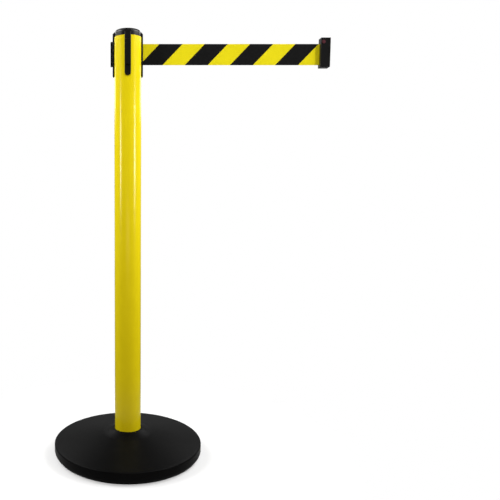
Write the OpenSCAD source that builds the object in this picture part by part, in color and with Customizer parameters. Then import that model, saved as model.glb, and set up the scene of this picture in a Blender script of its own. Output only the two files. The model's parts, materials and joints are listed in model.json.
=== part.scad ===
// Retractable belt stanchion: a weighted base, a slotted post, and a head that holds a spring-wound belt.
// The origin is on the floor at the post's axis. +Z is up, and +X is the way that the belt leaves.
// The belt is drawn pulled out by belt_out, as it is when another stanchion's receiver holds its clip.

/* [Post] */
// Height of the whole stanchion
total_h = 1016; // [850:1:1100]
// Outer diameter of the post tube
tube_d = 63.5; // [63:0.1:64]
// Wall of the post tube
tube_wall = 1.5; // [1.2:0.1:1.6]

/* [Base] */
// Diameter of the base cover
base_d = 360; // [340:1:400]
// Height at which the post enters the base cover
base_h = 64; // [60:1:68]
// Wall of the base cover
cover_wall = 2.3; // [2:0.1:2.5]

/* [Head] */
// Width of the black bars that line the post's four slots
bar_w = 14.5; // [13:0.5:15]
// How far the bars stand proud of the post
bar_proud = 3.5; // [3.5:0.25:5]
// How far the bars reach below the top of the post
bar_reach = 91; // [90.5:0.5:110]
// Height of the cap above the post
cap_h = 16.5; // [15:0.5:18]

/* [Belt] */
// Width of the webbing
belt_w = 48; // [44:1:48]
// Thickness of the webbing
belt_t = 0.5; // [0.4:0.05:0.6]
// Free webbing between the head and the clip
belt_out = 410; // [60:1:1900]
// Radius of the webbing that is still on the spool
roll_r = 18.5; // [16:0.5:20]

/* [Clip] */
// Length of the belt clip along the belt
clip_l = 23; // [23:0.5:28]
// Thickness of the belt clip
clip_t = 18.5; // [18.5:0.5:22]
// Height of the belt clip
clip_h = 66.5; // [66:0.5:70]

/* [Hidden] */

$fn = 96;
gap = 0.1;          // clearance between parts that are fitted by hand
running = 0.05;     // clearance of a shaft in its bush
slip = 0.01;        // overrun of a cutting shape past the face that it cuts

tube_r = tube_d / 2;
tube_in = tube_r - tube_wall;
tube_bottom = 34;
tube_top = total_h - cap_h;
face_r = tube_r + bar_proud;

// Base
base_r = base_d / 2;
ring_h = 4;
rim_h = 33;
rim_round = 3;
hub_r = 60;
bolt_r = 6;
washer_bottom = 17.6;
web_bottom = 20.1;

// Post slots and the head's sleeve
slot_r = 5;
slot_floor = tube_top - 84;
sleeve_r = tube_in - gap;
sleeve_in = 27.6;
sleeve_bottom = tube_top - 116;
head_floor = tube_top - 97;
screw_z = tube_top - 108;

// Bars that line the slots
bar_bottom = tube_top - bar_reach;
bar_top = tube_top + 11;
bar_chamfer = 5;
foot_x = 25.4;
foot_w = 12.4;

// Belt height, and the receiver's T rail
belt_z = tube_top - 38;
rail_h = 56;
rail_neck = 2.6;
rail_neck_w = 4.5;
rail_head = 2.2;
rail_head_w = 9.2;
notch_z = belt_z + 15.2;
notch_h = 3.6;
notch_depth = 0.9;

// Cassette inside the sleeve
plate_r = 25.2;
plate_t = 2.5;
roof_z = tube_top - 10;
cup_z = head_floor + plate_t;
cup_top = tube_top - 70;
cup_r = 22.2;
cup_wall = 1.3;
lid_t = 1.4;
lid_hole = 9;
spindle_r = 3;
flange_r = 22;
flange_t = 2;
hub_outer = 9;
arbor_r = 7;
arbor_bottom = cup_z + 2.5;
bush_r = 4.15;
bush_h = 10;
pillar_ring = 23.8;
pin_r = 1.4;
pin_x = 23.7;
wrap_r = pin_r + running + belt_t / 2;

// Clip, measured from clip_x, its face on the post's side
clip_gap = 0.5;
clip_x = face_r + clip_gap + belt_out;
clip_bottom = belt_z - 30;
clip_top = clip_bottom + clip_h;
anchor_x = clip_x + 10.5;
button_x = clip_x + 6.5;
button_z = clip_top - 9.3;
button_r = 4;
button_proud = 0.8;
slot_top = belt_z + rail_h / 2 + 0.3;
clip_face = clip_x + clip_l;
neck_back = clip_face - 2.3;
head_back = clip_face - 5.2;

rubber = [0.07, 0.07, 0.07];
iron = [0.22, 0.22, 0.23];
black = [0.09, 0.09, 0.09];
steel = [0.65, 0.66, 0.68];
yellow = [0.95, 0.85, 0.05];

// A ring with its lowest face at z
module ring(outer, inner, z, h) {
    translate([0, 0, z]) difference() {
        cylinder(r = outer, h = h);
        translate([0, 0, -slip]) cylinder(r = inner, h = h + 2 * slip);
    }
}

// A box from its lowest corner to its highest corner
module block(low, high) {
    translate(low) cube(high - low);
}

// A rectangle with round corners, from its lowest corner to its highest corner
module round_rect(low, high, r) {
    translate([low[0] + r, low[1]]) square([high[0] - low[0] - 2 * r, high[1] - low[1]]);
    translate([low[0], low[1] + r]) square([high[0] - low[0], high[1] - low[1] - 2 * r]);
    for (x = [low[0] + r, high[0] - r], y = [low[1] + r, high[1] - r])
        translate([x, y]) circle(r = r, $fn = 32);
}

// A cylinder along +Y from y0 to y1
module along_y(r, x, z, y0, y1) {
    translate([x, y0, z]) rotate([-90, 0, 0]) cylinder(r = r, h = y1 - y0, $fn = 48);
}

// ---- Base ----

module floor_ring() {
    color(rubber) rotate_extrude()
        polygon([[base_r - 40, 1], [base_r - 39, 0], [base_r - 13, 0], [base_r - 12, 1],
            [base_r - 12, ring_h], [base_r - 40, ring_h]]);
}

module base_weight() {
    color(iron) difference() {
        union() {
            rotate_extrude()
                polygon([[tube_r + 0.3, ring_h], [base_r - 12, ring_h], [base_r - 12, 13],
                    [base_r - 15, 16], [hub_r, 22], [50, 26], [44, base_h - 8],
                    [tube_r + 0.3, base_h - 8]]);
            ring(tube_r + 0.4, bolt_r + 0.6, ring_h, tube_bottom - ring_h);
        }
        translate([0, 0, ring_h - slip]) cylinder(r = 20, h = web_bottom - ring_h + slip);
    }
}

module base_cover() {
    inner = base_r - cover_wall;
    color(black) rotate_extrude() difference() {
        union() {
            polygon([[tube_r + 0.4, ring_h], [base_r - 6.5, ring_h], [base_r - 1.8, 10],
                [base_r, 15], [base_r, rim_h - rim_round], [base_r - rim_round, rim_h],
                [hub_r, base_h - 9.5], [42, base_h - 3], [tube_r + 4, base_h],
                [tube_r + 0.4, base_h]]);
            translate([base_r - rim_round, rim_h - rim_round]) circle(r = rim_round);
        }
        polygon([[0, 0], [inner - 6.5, 0], [inner - 6.5, ring_h + 1], [inner - 1.8, 11],
            [inner, 16], [inner, rim_h - 3], [base_r - 5, rim_h - cover_wall],
            [hub_r - 0.6, base_h - 9.5 - cover_wall], [41, base_h - 3 - cover_wall],
            [tube_r + 0.4, base_h - cover_wall], [0, base_h - cover_wall]]);
    }
}

module base_bolt() {
    color(steel) {
        translate([0, 0, 8]) cylinder(r = 10.4, h = 7.5, $fn = 6);
        translate([0, 0, 8]) cylinder(r = bolt_r, h = 52);
    }
}

module base_lock_washer() {
    color(steel) difference() {
        ring(10.4, bolt_r + 0.3, 15.5, washer_bottom - 15.5);
        block([0, -0.6, 15], [12, 0.6, 18]);
    }
}

module base_washer() {
    color(steel) ring(18, bolt_r + 0.4, washer_bottom, web_bottom - washer_bottom);
}

// ---- Post ----

module tube_foot() {
    color(steel) difference() {
        union() {
            translate([0, 0, tube_bottom]) cylinder(r = tube_in - gap, h = 12);
            translate([0, 0, tube_bottom]) cylinder(r = 14, h = 32);
        }
        translate([0, 0, tube_bottom - slip]) cylinder(r = bolt_r + running, h = 33);
    }
}

module post_tube() {
    color(yellow) difference() {
        ring(tube_r, tube_in, tube_bottom, tube_top - tube_bottom);
        for (a = [0:90:270]) rotate(a) {
            block([20, -slot_r, slot_floor], [40, slot_r, tube_top + slip]);
            translate([20, 0, slot_floor]) rotate([0, 90, 0]) cylinder(r = slot_r, h = 20);
        }
        along_y(2.1, 0, screw_z, 20, 40);
    }
}

// ---- Head ----

module head_body() {
    color(black) difference() {
        union() {
            ring(sleeve_r, sleeve_in, sleeve_bottom, tube_top - sleeve_bottom);
            translate([0, 0, head_floor - 3]) cylinder(r = sleeve_in + slip, h = 3);
        }
        for (a = [0:90:270])
            rotate(a) block([20, -slot_r - gap, slot_floor], [40, slot_r + gap, tube_top + slip]);
        along_y(2.05, 0, screw_z, 20, 40);
    }
}

module head_screw() {
    color(steel) {
        along_y(2, 0, screw_z, 25, tube_r + 0.3);
        along_y(3.6, 0, screw_z, tube_r + 0.2, tube_r + 2.4);
    }
}

// One bar, drawn on the +X side: a flange outside the tube, a neck through its slot and a foot inside
module bar() {
    difference() {
        intersection() {
            translate([0, 0, bar_bottom]) linear_extrude(height = bar_top - bar_bottom)
                round_rect([tube_r - 4, -bar_w / 2], [face_r, bar_w / 2], 1.2);
            translate([20, 0, 0]) rotate([90, 0, 90]) linear_extrude(height = 20) {
                translate([0, bar_bottom + bar_w / 2]) circle(r = bar_w / 2);
                translate([-bar_w / 2, bar_bottom + bar_w / 2])
                    square([bar_w, bar_top - bar_bottom]);
            }
        }
        translate([0, 0, bar_bottom - 1])
            cylinder(r = tube_r + gap, h = tube_top - bar_bottom + 1 + gap);
        translate([face_r, 0, bar_top - bar_chamfer]) rotate([0, -45, 0])
            block([0, -10, -2], [12, 10, 12]);
        translate([face_r, 0, bar_bottom + 3]) rotate([0, 45, 0])
            block([0, -10, -12], [12, 10, 2]);
    }
    intersection() {
        union() {
            block([foot_x, -slot_r + gap, slot_floor], [tube_r + 0.5, slot_r - gap, tube_top]);
            intersection() {
                block([foot_x, -foot_w / 2, slot_floor], [tube_r, foot_w / 2, tube_top]);
                cylinder(r = sleeve_in - gap, h = tube_top);
            }
        }
        cylinder(r = tube_r + 0.6, h = tube_top);
    }
}

// The T rail that another stanchion's clip slides down onto
module rail() {
    low = belt_z - rail_h / 2;
    high = belt_z + rail_h / 2;
    head_x = face_r + rail_neck;
    block([face_r - 1, -rail_neck_w / 2, low], [head_x + 1, rail_neck_w / 2, high]);
    difference() {
        block([head_x, -rail_head_w / 2, low], [head_x + rail_head, rail_head_w / 2, high]);
        for (side = [-1, 1])
            translate([0, side * rail_head_w / 2, notch_z])
                block([head_x - 1, -notch_depth, 0], [head_x + 3, notch_depth, notch_h]);
        translate([head_x + rail_head, 0, high - 2]) rotate([0, -45, 0])
            block([0, -10, -2], [6, 10, 6]);
    }
}

module receiver(angle) {
    color(black) rotate(angle) {
        bar();
        rail();
    }
}

module receiver_front() { receiver(-90); }

module receiver_back() { receiver(90); }

module receiver_left() { receiver(180); }

module exit_guide() {
    slot_half = belt_w / 2 + 2;
    color(black) difference() {
        bar();
        block([20, -1.5, belt_z - slot_half], [40, 1.5, belt_z + slot_half]);
        translate([face_r, 0, belt_z - slot_half]) linear_extrude(height = 2 * slot_half)
            polygon([[-1.5, 0], [slip, -3], [slip, 3]]);
    }
}

module cap_screw_places() {
    for (side = [-1, 1]) translate([0, side * 16, 0]) children();
}

module head_cap() {
    cap_r = tube_r - 0.55;
    round_r = 8.5;
    color(black) difference() {
        union() {
            rotate_extrude() difference() {
                union() {
                    translate([0, tube_top]) square([cap_r, cap_h - round_r]);
                    translate([0, tube_top]) square([cap_r - round_r, cap_h]);
                    translate([cap_r - round_r, total_h - round_r]) circle(r = round_r);
                }
                polygon([[0, tube_top - 1], [cap_r - 3, tube_top - 1], [cap_r - 3, total_h - 5],
                    [cap_r - 5.5, total_h - 3], [0, total_h - 3]]);
            }
            difference() {
                ring(sleeve_in - running, plate_r + 0.4, tube_top - 6.5, 8);
                for (a = [0:90:270]) rotate(a) block([20, -7.5, 0], [40, 7.5, total_h]);
            }
            difference() {
                ring(cap_r - 2, plate_r + 0.4, tube_top, 2);
                for (a = [0:90:270]) rotate(a) block([20, -7.5, 0], [40, 7.5, total_h]);
            }
            cap_screw_places() translate([0, 0, tube_top + 6])
                cylinder(r = 3.2, h = cap_h - 6 - slip, $fn = 48);
        }
        for (a = [0:90:270]) rotate(a)
            block([tube_r - 4.1, -bar_w / 2 - 0.15, tube_top - 1], [40, bar_w / 2 + 0.15, bar_top + 0.3]);
        cap_screw_places() {
            cylinder(r = 1.7, h = total_h + 1, $fn = 48);
            translate([0, 0, total_h - 1.6 - slip]) cylinder(r1 = 1.7, r2 = 3.3, h = 1.6 + 2 * slip, $fn = 48);
        }
    }
}

module cap_screws() {
    color(steel) cap_screw_places() {
        translate([0, 0, total_h - 21]) cylinder(r = 1.5, h = 20, $fn = 48);
        difference() {
            translate([0, 0, total_h - 1.6]) cylinder(r1 = 1.5, r2 = 3.1, h = 1.6, $fn = 48);
            for (a = [0, 90])
                rotate(a) block([-1.7, -0.35, total_h - 1], [1.7, 0.35, total_h + 1]);
        }
    }
}

// ---- Cassette ----

module pillar_places() {
    for (a = [45:90:315]) rotate(a) translate([pillar_ring, 0, 0]) children();
}

module guide_pin_places() {
    for (side = [-1, 1]) translate([pin_x, side * wrap_r, 0]) children();
}

module plate_holes(z) {
    pillar_places() translate([0, 0, z - slip]) cylinder(r = 0.85, h = plate_t + 2 * slip, $fn = 32);
    guide_pin_places() translate([0, 0, z - slip]) cylinder(r = 0.85, h = plate_t + 2 * slip, $fn = 32);
}

module cassette_floor() {
    color(steel) difference() {
        ring(plate_r, spindle_r + running, head_floor, plate_t);
        plate_holes(head_floor);
    }
}

module cassette_roof() {
    color(steel) difference() {
        union() {
            ring(plate_r, spindle_r + running, roof_z, plate_t);
            cap_screw_places() translate([0, 0, roof_z]) cylinder(r = 3, h = 16, $fn = 48);
        }
        plate_holes(roof_z);
        cap_screw_places() translate([0, 0, roof_z + 3]) cylinder(r = 1.55, h = 14, $fn = 48);
    }
}

// A pin between the two plates, with thinner riveted ends
module stepped_pin(r) {
    translate([0, 0, cup_z]) cylinder(r = r, h = roof_z - cup_z, $fn = 48);
    translate([0, 0, head_floor + 0.3]) cylinder(r = 0.8, h = roof_z + plate_t - head_floor - 0.3, $fn = 32);
}

module cassette_pillars() {
    color(steel) pillar_places() stepped_pin(1.2);
}

module guide_pins() {
    color(steel) guide_pin_places() stepped_pin(pin_r);
}

module spindle() {
    color(steel) translate([0, 0, head_floor + 0.2]) cylinder(r = spindle_r, h = roof_z + 8 - head_floor);
}

module spindle_nut() {
    color(steel) translate([0, 0, roof_z + plate_t]) difference() {
        cylinder(r = 5.77, h = 4, $fn = 6);
        translate([0, 0, -slip]) cylinder(r = spindle_r + running, h = 5);
    }
}

module thrust_washers() {
    flange_top = belt_z + belt_w / 2 + 1.1 + flange_t;
    color([0.9, 0.9, 0.85]) {
        ring(6.5, spindle_r + running, cup_z + 1.5, 0.9);
        ring(6.5, spindle_r + running, flange_top + 0.1, roof_z - flange_top - 0.2);
    }
}

module spring_cup() {
    color(steel) difference() {
        translate([0, 0, cup_z]) cylinder(r = cup_r, h = cup_top - cup_z);
        translate([0, 0, cup_z + 1.5]) cylinder(r = cup_r - cup_wall, h = cup_top);
        cylinder(r = spindle_r + running, h = cup_top);
    }
}

module spring_lid() {
    color(steel) ring(cup_r, lid_hole, cup_top, lid_t);
}

// Flat spiral strip between the cup and the spool's arbor
module power_spring() {
    turns = 7;
    steps = 24;
    r_in = arbor_r + 0.3;
    r_out = cup_r - cup_wall - 0.7;
    strip = 0.5;
    function spiral(i, side) =
        let (a = 360 * i / steps, r = r_in + (r_out - r_in) * i / (turns * steps) + side * strip)
        [r * cos(a), r * sin(a)];
    color(steel) translate([0, 0, cup_z + 2.5]) linear_extrude(height = 20)
        polygon(concat([for (i = [0:turns * steps]) spiral(i, 0)],
            [for (i = [turns * steps:-1:0]) spiral(i, 1)]));
}

module spool() {
    low = belt_z - belt_w / 2 - 1.1 - flange_t;
    high = belt_z + belt_w / 2 + 1.1 + flange_t;
    color([0.85, 0.85, 0.82]) difference() {
        union() {
            translate([0, 0, arbor_bottom]) cylinder(r = arbor_r, h = low - arbor_bottom);
            translate([0, 0, low]) cylinder(r = hub_outer, h = high - low);
            translate([0, 0, low]) cylinder(r = flange_r, h = flange_t);
            translate([0, 0, high - flange_t]) cylinder(r = flange_r, h = flange_t);
        }
        translate([0, 0, arbor_bottom - slip]) cylinder(r = bush_r + running, h = high);
        for (a = [0:60:300]) rotate(a) translate([15.5, 0, high - flange_t - slip])
            cylinder(r = 3.2, h = flange_t + 2 * slip, $fn = 48);
    }
}

module spool_bushes() {
    high = belt_z + belt_w / 2 + 1.1 + flange_t;
    color([0.75, 0.6, 0.3]) {
        ring(bush_r, spindle_r + running, arbor_bottom, bush_h);
        ring(bush_r, spindle_r + running, high - bush_h, bush_h);
    }
}

module belt_roll() {
    color(yellow) ring(roll_r, hub_outer + running, belt_z - belt_w / 2, belt_w);
}

// ---- Belt and clip ----

// Webbing from the roll to the near guide pin, straight out to the clip, and sewn round its pin
module belt_run() {
    roll_line = roll_r + running + belt_t / 2;
    pin = [pin_x, -wrap_r];
    normal = atan2(pin[1], pin[0]) + acos(-(roll_line + wrap_r) / norm(pin));
    start = -roll_line * [cos(normal), sin(normal)];
    bend = [pin_x - wrap_r * tan((normal - 90) / 2), 0];
    across = belt_t / 2 * [cos(normal), sin(normal)];
    mitre = belt_t / 2 * [-tan((normal - 90) / 2), 1];
    finish = [anchor_x - 2, 0];
    side = [0, belt_t / 2];
    color(yellow) translate([0, 0, belt_z - belt_w / 2]) linear_extrude(height = belt_w) {
        polygon([start - across, bend - mitre, finish - side, finish + side, bend + mitre,
            start + across]);
        translate([anchor_x, 0]) difference() {
            circle(r = 1.75 + belt_t, $fn = 32);
            circle(r = 1.75, $fn = 32);
        }
    }
}

module belt_pin() {
    color(steel) translate([anchor_x, 0, belt_z - 26.5]) cylinder(r = 1.6, h = 53, $fn = 48);
}

// The clip's outer form, with chamfered ends
module clip_form() {
    c = 0.8;
    lower = 1.6;
    intersection() {
        translate([0, 0, clip_bottom]) linear_extrude(height = clip_h)
            round_rect([clip_x, -clip_t / 2], [clip_face, clip_t / 2], 1.3);
        translate([0, 15, 0]) rotate([90, 0, 0]) linear_extrude(height = 30)
            polygon([[clip_x, clip_bottom + c], [clip_x + c, clip_bottom], [clip_face - lower, clip_bottom],
                [clip_face, clip_bottom + lower], [clip_face, clip_top - c], [clip_face - c, clip_top],
                [clip_x + c, clip_top], [clip_x, clip_top - c]]);
    }
}

module clip_screw_places() {
    translate([clip_face - 4.5, 0, clip_top - 4]) children();
    translate([clip_x + 14.5, 0, clip_bottom + 2.8]) children();
}

// Every hollow in the clip: belt entry, pin chamber, T slot, button bore and latch pocket
module clip_hollows() {
    half = belt_w / 2;
    block([clip_x - 1, -0.8, belt_z - half - 0.6], [clip_x + 4, 0.8, belt_z + half + 0.6]);
    block([clip_x + 3, -3.2, belt_z - half - 0.8], [clip_x + 14, 3.2, belt_z + half + 0.8]);
    translate([anchor_x, 0, belt_z - 26.6]) cylinder(r = 1.65, h = 53.2, $fn = 48);
    block([neck_back - 0.1, -2.55, clip_bottom - 1], [clip_face + 1, 2.55, slot_top]);
    block([head_back, -5, clip_bottom - 1], [neck_back, 5, slot_top]);
    along_y(button_r + 0.3, button_x, button_z, -clip_t / 2 - 1, -4);
    along_y(1.7, button_x, button_z, -4.1, 6);
    block([button_x - 1.6, 4.9, notch_z], [button_x + 1.6, 8.2, button_z + 2]);
    block([button_x - 1.6, 4.9, notch_z], [neck_back, 8.2, notch_z + notch_h]);
    for (side = [-1, 1]) translate([clip_face - 5.1, side * clip_t / 2, clip_bottom - 1])
        block([-0.3, -0.4, 0], [0.3, 0.4, clip_h + 2]);
}

module clip_front() {
    color(black) difference() {
        intersection() {
            clip_form();
            block([0, -20, 0], [clip_face + 1, 0, total_h]);
        }
        clip_hollows();
        clip_screw_places() along_y(1.3, 0, 0, -6.2, 1);
    }
}

module clip_back() {
    color(black) difference() {
        intersection() {
            clip_form();
            block([0, 0, 0], [clip_face + 1, 20, total_h]);
        }
        clip_hollows();
        clip_screw_places() {
            along_y(1.4, 0, 0, -1, 10);
            along_y(2.4, 0, 0, clip_t / 2 - 1.6, clip_t / 2 + 1);
        }
    }
}

module clip_screws() {
    color(steel) clip_screw_places() {
        along_y(1.25, 0, 0, -6, clip_t / 2 - 1.5);
        difference() {
            along_y(2.25, 0, 0, clip_t / 2 - 1.55, clip_t / 2 - 0.2);
            for (a = [0, 90]) rotate([0, a, 0])
                block([-1.3, clip_t / 2 - 0.9, -0.3], [1.3, clip_t / 2, 0.3]);
        }
    }
}

// Push button whose arm carries the nib that holds the clip down on a receiver's rail
module lock_button() {
    arm_low = notch_z + 0.3;
    arm_high = notch_z + notch_h - 0.3;
    color([0.55, 0.08, 0.12]) {
        along_y(button_r, button_x, button_z, -clip_t / 2 - button_proud, -clip_t / 2 + 2.2);
        along_y(1.4, button_x, button_z, -clip_t / 2 + 2, 5.7);
        block([button_x - 1.1, 5.6, arm_low], [button_x + 1.1, 6.8, button_z + 1.5]);
        block([button_x - 1.1, 5.6, arm_low], [neck_back - 0.3, 6.8, arm_high]);
        translate([head_back + 0.2, 0, 0]) rotate([90, 0, 90]) linear_extrude(height = 2.4)
            polygon([[6, arm_low], [6, arm_high], [4, arm_high], [4, arm_low + 1.9]]);
    }
}

// Compression spring round the button's stem
module button_spring() {
    turns = 2.5;
    steps = 12;
    sides = 6;
    wire = 0.2;
    coil_r = 2.8;
    y0 = -clip_t / 2 + 2.25 + wire;
    y1 = -4.05 - wire;
    count = turns * steps;
    points = [for (i = [0:count], k = [0:sides - 1])
        let (a = 360 * i / steps, b = 360 * k / sides, r = coil_r + wire * cos(b))
        [button_x + r * cos(a), y0 + (y1 - y0) * i / count + wire * sin(b), button_z + r * sin(a)]];
    walls = [for (i = [0:count - 1], k = [0:sides - 1])
        let (n = (k + 1) % sides)
        [i * sides + k, (i + 1) * sides + k, (i + 1) * sides + n, i * sides + n]];
    ends = [[for (k = [0:sides - 1]) k], [for (k = [sides - 1:-1:0]) count * sides + k]];
    color(steel) polyhedron(points = points, faces = concat(walls, ends));
}

floor_ring();
base_weight();
base_cover();
base_bolt();
base_lock_washer();
base_washer();
tube_foot();
post_tube();
head_body();
head_screw();
receiver_front();
receiver_back();
receiver_left();
exit_guide();
head_cap();
cap_screws();
cassette_floor();
cassette_roof();
cassette_pillars();
guide_pins();
spindle();
spindle_nut();
thrust_washers();
spring_cup();
spring_lid();
power_spring();
spool();
spool_bushes();
belt_roll();
belt_run();
belt_pin();
clip_front();
clip_back();
clip_screws();
lock_button();
button_spring();
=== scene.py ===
"""The looks of a retractable belt stanchion, in the frame of its CAD model.

Tube, base cover, floor ring, cap, belt and button coil are made here, finer than the CAD's.
The other pieces are the CAD nodes, with their own materials, and soft edges where they show.
"""

import json
import math

import bmesh
import bpy
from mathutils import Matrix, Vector


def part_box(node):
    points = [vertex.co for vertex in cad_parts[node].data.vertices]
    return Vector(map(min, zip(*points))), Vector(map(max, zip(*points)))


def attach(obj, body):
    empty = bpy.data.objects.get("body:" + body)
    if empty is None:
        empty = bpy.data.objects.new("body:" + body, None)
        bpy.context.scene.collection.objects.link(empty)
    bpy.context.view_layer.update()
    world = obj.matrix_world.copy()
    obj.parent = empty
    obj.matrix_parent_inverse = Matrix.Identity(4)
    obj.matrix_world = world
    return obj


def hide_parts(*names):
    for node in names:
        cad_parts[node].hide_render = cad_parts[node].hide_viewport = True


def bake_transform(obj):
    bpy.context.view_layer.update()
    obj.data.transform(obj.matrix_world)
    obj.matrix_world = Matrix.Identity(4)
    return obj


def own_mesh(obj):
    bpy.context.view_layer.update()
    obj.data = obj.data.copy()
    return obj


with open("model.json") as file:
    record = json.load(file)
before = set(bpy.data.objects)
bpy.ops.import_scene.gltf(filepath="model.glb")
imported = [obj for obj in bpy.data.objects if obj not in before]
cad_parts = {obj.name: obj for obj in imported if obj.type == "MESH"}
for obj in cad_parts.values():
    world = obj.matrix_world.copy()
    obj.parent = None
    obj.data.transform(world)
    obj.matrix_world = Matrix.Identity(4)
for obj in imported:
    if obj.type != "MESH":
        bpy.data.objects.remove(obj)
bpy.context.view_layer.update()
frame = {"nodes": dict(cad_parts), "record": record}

TAU = 2 * math.pi
MM = 0.001

# ---- Places, from the frame ----

TUBE_LOW, TUBE_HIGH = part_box("post_tube")
TUBE_R = TUBE_HIGH.x
TUBE_TOP = TUBE_HIGH.z
TUBE_WALL = 1.5 * MM
SLOT_HALF = 5 * MM
SLOT_DEPTH = 89 * MM
BASE_LOW, BASE_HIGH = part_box("base_cover")
BASE_R = BASE_HIGH.x
CAP_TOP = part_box("head_cap")[1].z
RING_LOW, RING_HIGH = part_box("floor_ring")
BELT_LOW, BELT_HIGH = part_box("belt_run")
PIN_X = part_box("belt_pin")[0].x
SPRING_LOW, SPRING_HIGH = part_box("button_spring")
BELT_Z = (BELT_LOW.z + BELT_HIGH.z) / 2

# ---- Materials ----


class Nodes:
    """A material's node tree, with short calls for the nodes it needs."""

    def __init__(self, name, colour, roughness, metallic=0.0, specular=0.5):
        self.material = bpy.data.materials.new(name)
        self.material.use_nodes = True
        self.tree = self.material.node_tree
        self.shader = self.tree.nodes["Principled BSDF"]
        self.shader.inputs["Base Color"].default_value = (*colour, 1)
        self.shader.inputs["Roughness"].default_value = roughness
        self.shader.inputs["Metallic"].default_value = metallic
        self.shader.inputs["Specular IOR Level"].default_value = specular
        self.place = self.add("ShaderNodeTexCoord").outputs["Object"]

    def add(self, kind):
        return self.tree.nodes.new(kind)

    def put(self, socket, value):
        """Links a socket to another node's output, or sets its value."""
        if isinstance(value, bpy.types.NodeSocket):
            self.tree.links.new(value, socket)
        else:
            socket.default_value = value

    def math(self, operation, a, b=0.0):
        node = self.add("ShaderNodeMath")
        node.operation = operation
        self.put(node.inputs[0], a)
        self.put(node.inputs[1], b)
        return node.outputs[0]

    def noise(self, scale, detail, roughness=0.55, stretch=(1, 1, 1)):
        mapping = self.add("ShaderNodeMapping")
        self.put(mapping.inputs["Vector"], self.place)
        mapping.inputs["Scale"].default_value = stretch
        node = self.add("ShaderNodeTexNoise")
        self.put(node.inputs["Vector"], mapping.outputs["Vector"])
        node.inputs["Scale"].default_value = scale
        node.inputs["Detail"].default_value = detail
        node.inputs["Roughness"].default_value = roughness
        return node.outputs["Fac"]

    def ranged(self, value, low, high, to_low, to_high):
        """The value, with low to high spread over to_low to to_high."""
        node = self.add("ShaderNodeMapRange")
        self.put(node.inputs["Value"], value)
        for key, number in zip(("From Min", "From Max", "To Min", "To Max"),
                               (low, high, to_low, to_high)):
            node.inputs[key].default_value = number
        return node.outputs["Result"]

    def mix(self, factor, a, b):
        node = self.add("ShaderNodeMix")
        node.data_type = "RGBA"
        self.put(node.inputs["Factor"], factor)
        for socket, colour in ((node.inputs["A"], a), (node.inputs["B"], b)):
            self.put(socket, (*colour, 1) if isinstance(colour, tuple) else colour)
        return node.outputs["Result"]

    def colour(self, value):
        self.put(self.shader.inputs["Base Color"], value)

    def roughness(self, value):
        self.put(self.shader.inputs["Roughness"], value)

    def bump(self, height, distance, strength):
        node = self.add("ShaderNodeBump")
        node.inputs["Distance"].default_value = distance
        node.inputs["Strength"].default_value = strength
        self.put(node.inputs["Height"], height)
        self.put(self.shader.inputs["Normal"], node.outputs["Normal"])


def powder_coat():
    """Gloss yellow powder coat: faint orange peel, a hint of unevenness in tone and gloss."""
    n = Nodes("post_yellow", (0.72, 0.58, 0.005), 0.2, specular=0.25)
    tone = n.ranged(n.noise(30, 3), 0.3, 0.7, 0, 1)
    n.colour(n.mix(tone, (0.715, 0.575, 0.004), (0.74, 0.60, 0.005)))
    n.roughness(n.ranged(n.noise(300, 3), 0.3, 0.7, 0.17, 0.23))
    n.bump(n.noise(420, 2, 0.4), 0.00008, 0.4)
    return n.material


def grained_black(name, colour, roughness, grain, specular):
    """Moulded black plastic with a fine spark-eroded grain."""
    n = Nodes(name, colour, roughness, specular=specular)
    fine = n.noise(1 / grain, 3, 0.6)
    broad = n.noise(14, 4, 0.6)
    light = tuple(c * 1.35 for c in colour)
    n.colour(n.mix(n.ranged(broad, 0.35, 0.65, 0, 1), colour, light))
    n.roughness(n.ranged(fine, 0.3, 0.7, roughness - 0.06, roughness + 0.08))
    n.bump(fine, 0.00008, 0.55)
    return n.material


def plain(name, colour, roughness, metallic=0.0, scale=180, depth=0.00004, vary=0.15):
    """A material with a fine surface noise and a slight change of tone."""
    n = Nodes(name, colour, roughness, metallic)
    rough = n.noise(scale, 4)
    tone = n.ranged(n.noise(scale / 8, 3), 0.3, 0.7, 0, 1)
    dark = tuple(c * (1 - vary) for c in colour)
    n.colour(n.mix(tone, dark, colour))
    n.roughness(n.ranged(rough, 0.3, 0.7, max(0.05, roughness - 0.08), roughness + 0.08))
    n.bump(rough, depth, 0.5)
    return n.material


def brushed(name, colour, roughness, stretch):
    """Plated steel with fine lines along one direction."""
    n = Nodes(name, colour, roughness, 1.0)
    lines = n.noise(600, 3, 0.6, stretch)
    n.roughness(n.ranged(lines, 0.3, 0.7, roughness - 0.08, roughness + 0.1))
    n.colour(n.mix(lines, tuple(c * 0.8 for c in colour), colour))
    n.bump(lines, 0.00001, 0.4)
    return n.material


# The webbing's stripes: their pitch, start and lean, and the black share of a pitch
STRIPE_PITCH = 105.3 * MM
STRIPE_SHIFT = 50.8 * MM
STRIPE_SLOPE = 0.967
BLACK_SHARE = 0.51
THREAD = 1.15 * MM


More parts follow.
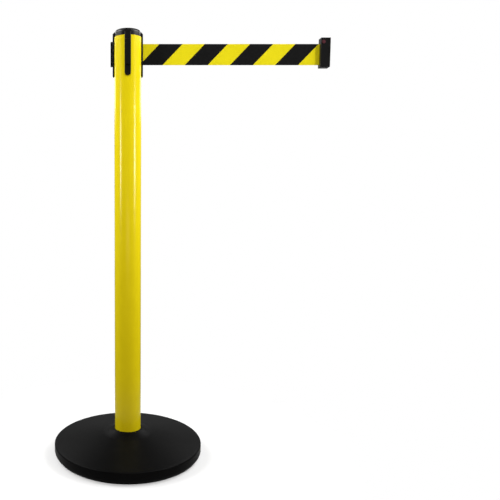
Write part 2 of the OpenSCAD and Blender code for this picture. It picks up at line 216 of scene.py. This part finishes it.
def webbing():
    """Woven polyester: ribs along and across, black diagonal stripes with thread-stepped edges, and painted
    shade in the weave's hollows.
    """
    n = Nodes("webbing", (0.8, 0.66, 0.02), 0.75, specular=0.08)
    split = n.add("ShaderNodeSeparateXYZ")
    n.put(split.inputs[0], n.place)
    along, up = split.outputs["X"], n.math("SUBTRACT", split.outputs["Z"], BELT_Z)

    row = n.math("FLOOR", n.math("DIVIDE", up, THREAD))
    stepped = n.math("MULTIPLY", row, THREAD * STRIPE_SLOPE)
    offset = n.math("SUBTRACT", n.math("SUBTRACT", along, stepped), STRIPE_SHIFT)
    jitter = n.math("MULTIPLY", n.math("SUBTRACT", n.noise(900, 2), 0.5), 0.012)
    phase = n.math("FRACT", n.math("ADD", n.math("DIVIDE", offset, STRIPE_PITCH), jitter))
    black = n.math("LESS_THAN", phase, BLACK_SHARE)

    warp = n.math("SINE", n.math("MULTIPLY", up, TAU / THREAD))
    weft = n.math("SINE", n.math("MULTIPLY", along, TAU / (THREAD * 0.8)))
    weave = n.math("ADD", n.math("MULTIPLY", warp, weft), n.math("MULTIPLY", warp, 0.6))
    # Painted shade: where the weave is low, the yellow and the black are coloured darker, and where it is
    # high, lighter. A noise adds random tone on top.
    hollow_shade_and_tone = n.ranged(n.math("ADD", weave, n.noise(500, 3)), -1.2, 2.0, 0.0, 1.0)
    yellow = n.mix(hollow_shade_and_tone, (0.66, 0.55, 0.003), (0.84, 0.73, 0.005))
    dark = n.mix(hollow_shade_and_tone, (0.0015, 0.0015, 0.0015), (0.0045, 0.0045, 0.0045))
    n.colour(n.mix(black, yellow, dark))
    n.bump(weave, 0.00012, 0.6)
    n.shader.inputs["Sheen Weight"].default_value = 0.04
    return n.material


MATERIALS = {
    "post_yellow": powder_coat(),
    "cover_black": grained_black("cover_black", (0.0018, 0.0018, 0.0018), 0.36, 0.9 * MM, 0.04),
    "head_black": grained_black("head_black", (0.002, 0.002, 0.002), 0.32, 0.7 * MM, 0.27),
    "webbing": webbing(),
    "rubber": plain("rubber", (0.012, 0.012, 0.012), 0.8, scale=400, depth=0.0001),
    "cast_iron": plain("cast_iron", (0.06, 0.06, 0.062), 0.75, 0.6, scale=300, depth=0.0003),
    "steel": brushed("steel", (0.6, 0.6, 0.62), 0.32, (1, 1, 0.1)),
    "spring_steel": brushed("spring_steel", (0.2, 0.22, 0.27), 0.28, (1, 1, 0.08)),
    "bronze": plain("bronze", (0.45, 0.28, 0.1), 0.45, 1.0, scale=500),
    "nylon": plain("nylon", (0.75, 0.74, 0.68), 0.5, scale=350, vary=0.05),
    "button_red": plain("button_red", (0.075, 0.012, 0.018), 0.35, scale=250),
}

# ---- Mesh helpers ----


def shade_smooth(piece, angle=35):
    """Smooth shading that keeps edges sharper than the angle, in degrees."""
    for polygon in piece.data.polygons:
        polygon.use_smooth = True
    mesh = bmesh.new()
    mesh.from_mesh(piece.data)
    for edge in mesh.edges:
        turned = edge.calc_face_angle(math.pi) if len(edge.link_faces) == 2 else math.pi
        edge.smooth = turned < math.radians(angle)
    mesh.to_mesh(piece.data)
    mesh.free()


def piece_from(name, mesh, slot, body):
    """A new object from a bmesh, with the material of its finish slot and the body it rides on."""
    bmesh.ops.recalc_face_normals(mesh, faces=mesh.faces)
    data = bpy.data.meshes.new(name)
    mesh.to_mesh(data)
    mesh.free()
    piece = bpy.data.objects.new(name, data)
    bpy.context.scene.collection.objects.link(piece)
    data.materials.append(MATERIALS[slot])
    if body:
        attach(piece, body)
    return piece


def lathe(name, outline, slot, body, steps=192):
    """Turns a closed outline of (radius, height) round the post's axis."""
    mesh = bmesh.new()
    rings = []
    for r, z in outline:
        if r < 1e-6:
            rings.append([mesh.verts.new((0, 0, z))] * steps)
            continue
        angles = [TAU * k / steps for k in range(steps)]
        rings.append([mesh.verts.new((r * math.cos(a), r * math.sin(a), z)) for a in angles])
    for low, high in zip(rings, rings[1:] + rings[:1]):
        for k in range(steps):
            corners = [low[k], low[(k + 1) % steps], high[(k + 1) % steps], high[k]]
            face = list(dict.fromkeys(corners))
            if len(face) > 2:
                mesh.faces.new(face)
    return piece_from(name, mesh, slot, body)


def arc(centre, radius, start, end, steps):
    """Points on an arc, angles in degrees."""
    angles = [math.radians(start + (end - start) * k / steps) for k in range(steps + 1)]
    return [(centre[0] + radius * math.cos(a), centre[1] + radius * math.sin(a)) for a in angles]


def cut(piece, cutters):
    """Takes closed meshes out of a piece, for good."""
    for cutter in cutters:
        modifier = piece.modifiers.new("cut", "BOOLEAN")
        modifier.operation = "DIFFERENCE"
        modifier.solver = "EXACT"
        modifier.object = cutter
    graph = bpy.context.evaluated_depsgraph_get()
    data = bpy.data.meshes.new_from_object(piece.evaluated_get(graph))
    piece.modifiers.clear()
    piece.data = data
    for cutter in cutters:
        bpy.data.objects.remove(cutter)


def box_cutter(low, high, angle=0.0):
    """A plain box to cut with, turned about the post's axis."""
    mesh = bmesh.new()
    bmesh.ops.create_cube(mesh, size=1)
    for vertex in mesh.verts:
        x, y, z = ((low[k] + high[k]) / 2 + vertex.co[k] * (high[k] - low[k]) for k in range(3))
        vertex.co = (x * math.cos(angle) - y * math.sin(angle), x * math.sin(angle) + y * math.cos(angle), z)
    data = bpy.data.meshes.new("cutter")
    mesh.to_mesh(data)
    mesh.free()
    cutter = bpy.data.objects.new("cutter", data)
    bpy.context.scene.collection.objects.link(cutter)
    return cutter


# ---- Tube ----


def make_tube():
    """The post's tube, with a slot down from its top for each bar."""
    chamfer = 0.3 * MM
    inner = TUBE_R - TUBE_WALL
    outline = [(inner, TUBE_LOW.z), (TUBE_R, TUBE_LOW.z), (TUBE_R, TUBE_TOP - chamfer),
               (TUBE_R - chamfer, TUBE_TOP), (inner + chamfer, TUBE_TOP), (inner, TUBE_TOP - chamfer)]
    tube = lathe("tube", outline, "post_yellow", "post", 256)
    low = (20 * MM, -SLOT_HALF, TUBE_TOP - SLOT_DEPTH)
    high = (40 * MM, SLOT_HALF, TUBE_TOP + MM)
    cut(tube, [box_cutter(low, high, TAU * k / 4) for k in range(4)])
    shade_smooth(tube, 40)
    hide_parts("post_tube")


# ---- Base ----


def make_cover():
    """The domed cover: a rounded rim, a shallow cone that hollows towards the post, and a collar."""
    floor_z, collar_z = BASE_LOW.z, BASE_HIGH.z
    rim_z, rim_r = 33 * MM, 3 * MM
    hole_r = TUBE_R + 0.4 * MM
    wall = 2.3 * MM
    cone_drop, collar_drop = 9.5 * MM, 3 * MM
    cone, collar = (60 * MM, collar_z - cone_drop), (42 * MM, collar_z - collar_drop)
    outer = [(BASE_R - 6.5 * MM, floor_z), (BASE_R - 4 * MM, 7 * MM), (BASE_R - 1.8 * MM, 10 * MM),
             (BASE_R - 0.5 * MM, 12.7 * MM), (BASE_R, 15.2 * MM)]
    outer += arc((BASE_R - rim_r, rim_z - rim_r), rim_r, 0, 78, 8)
    rim = outer[-1]
    cone_steps, hollow_steps = 24, 8
    for k in range(1, cone_steps + 1):
        t = k / cone_steps
        outer.append((rim[0] + (cone[0] - rim[0]) * t, rim[1] + (cone[1] - rim[1]) * t))
    for k in range(1, hollow_steps + 1):
        t = k / hollow_steps
        rise = 0.75 * t + 0.25 * t * t
        outer.append((cone[0] + (collar[0] - cone[0]) * t, cone[1] + (collar[1] - cone[1]) * rise))
    outer += [(TUBE_R + 4.3 * MM, collar_z - 0.3 * MM), (TUBE_R + 3.4 * MM, collar_z),
              (hole_r + 0.5 * MM, collar_z), (hole_r, collar_z - 0.5 * MM)]
    inside = BASE_R - wall
    inner = [(hole_r, collar_z - wall), (41 * MM, collar_z - collar_drop - wall),
             (59.4 * MM, collar_z - cone_drop - wall), (BASE_R - 5 * MM, rim_z - wall),
             (inside, rim_z - rim_r), (inside, 16 * MM), (inside - 1.8 * MM, 11 * MM),
             (inside - 6.5 * MM, floor_z + 1 * MM), (inside - 6.5 * MM, floor_z)]
    cover = lathe("cover", outer + inner, "cover_black", "post", 288)
    shade_smooth(cover, 35)
    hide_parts("base_cover")


def make_floor_ring():
    """The flat rubber ring under the weight, chamfered where it meets the floor."""
    low, high = RING_LOW.z, RING_HIGH.z
    inner, outer = BASE_R - 40 * MM, BASE_R - 12 * MM
    chamfer = 1 * MM
    outline = [(inner, high), (inner, low + chamfer), (inner + chamfer, low), (outer - chamfer, low),
               (outer, low + chamfer), (outer, high)]
    ring = lathe("ring", outline, "rubber", "post", 192)
    shade_smooth(ring, 35)
    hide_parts("floor_ring")


# ---- Cap ----


def make_cap():
    """The cap: a flat top with a rounded shoulder, notched for the four bars."""
    r = TUBE_R - 0.55 * MM
    round_r = 8.5 * MM
    lip = 0.4 * MM
    wall = 3 * MM
    notch_half = 7.4 * MM
    outline = [(0, CAP_TOP), (r - round_r - 4 * MM, CAP_TOP)]
    outline += reversed(arc((r - round_r, CAP_TOP - round_r), round_r, 0, 90, 12))
    outline += [(r, TUBE_TOP + lip), (r - lip, TUBE_TOP), (r - wall, TUBE_TOP),
                (r - wall, CAP_TOP - 5 * MM), (r - wall - 2.5 * MM, CAP_TOP - wall), (0, CAP_TOP - wall)]
    cap = lathe("cap", outline, "head_black", "post", 192)
    low = (TUBE_R - 4.1 * MM, -notch_half, TUBE_TOP - 10 * MM)
    high = (50 * MM, notch_half, TUBE_TOP + 11.3 * MM)
    cut(cap, [box_cutter(low, high, TAU * k / 4) for k in range(4)])
    shade_smooth(cap, 40)
    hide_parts("head_cap")


# ---- Belt ----


def make_belt():
    """One stretched strip of webbing, from inside the head to inside the clip."""
    start_x, end_x = 22 * MM, PIN_X + 0.6 * MM
    half_w = (BELT_HIGH.z - BELT_LOW.z) / 2
    half_t = 0.25 * MM
    thinnest = 0.35
    ripple, ripples_per_metre, ripple_lean = 0.28 * MM, 9, 0.17
    columns, rows = 520, 14
    mesh = bmesh.new()
    sides = []
    for side in (-1, 1):
        grid = []
        for i in range(columns + 1):
            x = start_x + (end_x - start_x) * i / columns
            middle = math.sin(math.pi * i / columns)
            line = []
            for j in range(rows + 1):
                across = 2 * j / rows - 1
                edge = math.sqrt(max(0.0, 1 - abs(across) ** 12))
                wave = ripple * middle * math.sin(TAU * (x * ripples_per_metre + across * ripple_lean))
                y = wave + side * half_t * max(edge, thinnest)
                line.append(mesh.verts.new((x, y, BELT_Z + half_w * across)))
            grid.append(line)
        sides.append(grid)
    for grid in sides:
        for i in range(columns):
            for j in range(rows):
                mesh.faces.new((grid[i][j], grid[i + 1][j], grid[i + 1][j + 1], grid[i][j + 1]))
    front, back = sides
    for i in range(columns):
        for j in (0, rows):
            mesh.faces.new((front[i][j], front[i + 1][j], back[i + 1][j], back[i][j]))
    for j in range(rows):
        for i in (0, columns):
            mesh.faces.new((front[i][j], front[i][j + 1], back[i][j + 1], back[i][j]))
    belt = piece_from("belt", mesh, "webbing", None)
    shade_smooth(belt, 60)
    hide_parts("belt_run")
    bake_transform(belt)


# ---- Button spring ----


def make_spring():
    """The coil behind the push button, which in the real clip shortens as the button goes in."""
    wire = 0.2 * MM
    turns, steps, sides = 2.5, 40, 10
    centre = (SPRING_LOW + SPRING_HIGH) / 2
    coil_r = (SPRING_HIGH.x - SPRING_LOW.x) / 2 - wire
    start_y, end_y = SPRING_LOW.y + wire, SPRING_HIGH.y - wire
    mesh = bmesh.new()
    rings = []
    for i in range(int(turns * steps) + 1):
        turn = TAU * i / steps
        middle_y = start_y + (end_y - start_y) * i / (turns * steps)
        ring = []
        for k in range(sides):
            r = coil_r + wire * math.cos(TAU * k / sides)
            y = middle_y + wire * math.sin(TAU * k / sides)
            ring.append(mesh.verts.new((centre.x + r * math.cos(turn), y, centre.z + r * math.sin(turn))))
        rings.append(ring)
    for near, far in zip(rings, rings[1:]):
        for k in range(sides):
            mesh.faces.new((near[k], near[(k + 1) % sides], far[(k + 1) % sides], far[k]))
    mesh.faces.new(rings[0])
    mesh.faces.new(rings[-1])
    spring = piece_from("button_coil", mesh, "spring_steel", "belt_end")
    shade_smooth(spring, 50)
    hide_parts("button_spring")
    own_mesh(spring)


# ---- CAD nodes that stay ----


def finish_nodes():
    """Gives every CAD node its slot's material, and soft edges to those that are seen."""
    slots = {entry["node"]: entry["material_slot"] for entry in frame["record"]["subparts"]}
    moulded = ("receiver_front", "receiver_back", "receiver_left", "exit_guide", "clip_front", "clip_back",
               "lock_button")
    screws = ("clip_screws", "head_screw", "cap_screws")
    edges = {**dict.fromkeys(moulded, 0.35 * MM), **dict.fromkeys(screws, 0.12 * MM)}
    for name, node in frame["nodes"].items():
        node.data.materials.clear()
        node.data.materials.append(MATERIALS[slots[name]])
        if name in edges:
            weld = node.modifiers.new("weld", "WELD")
            weld.merge_threshold = 0.01 * MM
            bevel = node.modifiers.new("bevel", "BEVEL")
            bevel.width = edges[name]
            bevel.segments = 2
            bevel.limit_method = "ANGLE"
            bevel.angle_limit = math.radians(40)
            bevel.harden_normals = True


# ---- Room, lights and camera ----

# The camera's metres from the post and above the floor, degrees down, lens in mm and sideways shift
CAMERA_BACK = 1.432
CAMERA_HEIGHT = 0.650
CAMERA_PITCH = 5.8
LENS = 43.11
SHIFT = 0.2444

# The even light on every side, and where round the base the floor fades out, in metres
WORLD_FILL = 0.07
FADE_START, FADE_END = 0.2, 0.6
HEAD_SPOT, MIDDLE_SPOT = (0, 0, 0.85), (0, 0, 0.7)

# Lights round the post: degrees from the camera's side, distance, height, aim, size, watts, spread
AROUND = (
    (61, 1.5, 0.84, HEAD_SPOT, (0.15, 0.46), 1.35, 70),
    (-63, 1.5, 0.84, HEAD_SPOT, (0.13, 0.46), 1.1, 70),
    (80, 1.35, 1.85, MIDDLE_SPOT, (1.4, 1.0), 9, 80),
    (-85, 1.35, 1.85, MIDDLE_SPOT, (1.4, 1.0), 8, 80),
    (140, 1.6, 1.4, MIDDLE_SPOT, (1.0, 0.8), 2.4, 80),
    (-140, 1.6, 1.4, MIDDLE_SPOT, (1.0, 0.8), 2.4, 80),
)


def make_camera():
    """Looks slightly down at the post, and is shifted sideways to take in the belt."""
    data = bpy.data.cameras.new("camera")
    data.lens = LENS
    data.sensor_width = 36
    data.shift_x = SHIFT
    camera = bpy.data.objects.new("camera", data)
    camera.location = (0, -CAMERA_BACK, CAMERA_HEIGHT)
    camera.rotation_euler = (math.radians(90 - CAMERA_PITCH), 0, 0)
    bpy.context.scene.collection.objects.link(camera)
    bpy.context.scene.camera = camera


def area_light(name, place, target, size, power, spread=180, colour=(1, 1, 1)):
    """A rectangular light aimed at a point, with its power in watts and its spread in degrees."""
    data = bpy.data.lights.new(name, "AREA")
    data.color = colour
    data.shape = "RECTANGLE"
    data.size, data.size_y = size
    data.energy = power
    data.spread = math.radians(spread)
    light = bpy.data.objects.new(name, data)
    light.location = place
    light.rotation_euler = (Vector(target) - Vector(place)).to_track_quat("-Z", "Y").to_euler()
    bpy.context.scene.collection.objects.link(light)


def make_floor():
    """A pale paper floor that fades out round the base."""
    mesh = bmesh.new()
    bmesh.ops.create_grid(mesh, x_segments=1, y_segments=1, size=14)
    data = bpy.data.meshes.new("studio_floor")
    mesh.to_mesh(data)
    mesh.free()
    floor = bpy.data.objects.new("studio_floor", data)
    bpy.context.scene.collection.objects.link(floor)
    floor.location = (0, 0, -0.0002)
    paper = Nodes("paper", (0.92, 0.92, 0.92), 0.9, specular=0.1)
    distance = paper.add("ShaderNodeVectorMath")
    distance.operation = "LENGTH"
    paper.put(distance.inputs[0], paper.place)
    fade = paper.ranged(distance.outputs["Value"], FADE_START, FADE_END, 0.5, 0.0)
    paper.put(paper.shader.inputs["Alpha"], fade)
    data.materials.append(paper.material)


def make_world():
    """White as the camera sees it, and a faint even fill as the surfaces see it."""
    world = bpy.data.worlds.new("studio")
    bpy.context.scene.world = world
    world.use_nodes = True
    nodes, links = world.node_tree.nodes, world.node_tree.links
    seen = nodes["Background"]
    seen.inputs["Strength"].default_value = 1.0
    seen.inputs["Color"].default_value = (1, 1, 1, 1)
    fill = nodes.new("ShaderNodeBackground")
    fill.inputs["Strength"].default_value = WORLD_FILL
    path = nodes.new("ShaderNodeLightPath")
    either = nodes.new("ShaderNodeMixShader")
    links.new(path.outputs["Is Camera Ray"], either.inputs["Fac"])
    links.new(fill.outputs[0], either.inputs[1])
    links.new(seen.outputs[0], either.inputs[2])
    links.new(either.outputs[0], nodes["World Output"].inputs["Surface"])


def make_lights():
    """Narrow lights for the tube's two highlights, and broad soft ones on every side."""
    for turn, reach, height, target, size, power, spread in AROUND:
        angle = math.radians(turn)
        place = (reach * math.sin(angle), -reach * math.cos(angle), height)
        area_light(f"side_{turn}", place, target, size, power, spread)
    area_light("top", (0.2, -1.2, 2.3), HEAD_SPOT, (1.4, 1.0), 4.5, 80)
    area_light("low", (0, -1.9, 0.4), (0, 0, 0.36), (1.2, 0.3), 0.42, 60, (1, 0.62, 0.4))
    area_light("back", (0, 2.6, 0.9), (0, 0, 0.6), (3.2, 1.6), 5.5)


make_camera()
make_tube()
make_cover()
make_floor_ring()
make_cap()
make_belt()
make_spring()
finish_nodes()
make_floor()
make_world()
make_lights()
bpy.context.scene.view_settings.view_transform = "Standard"
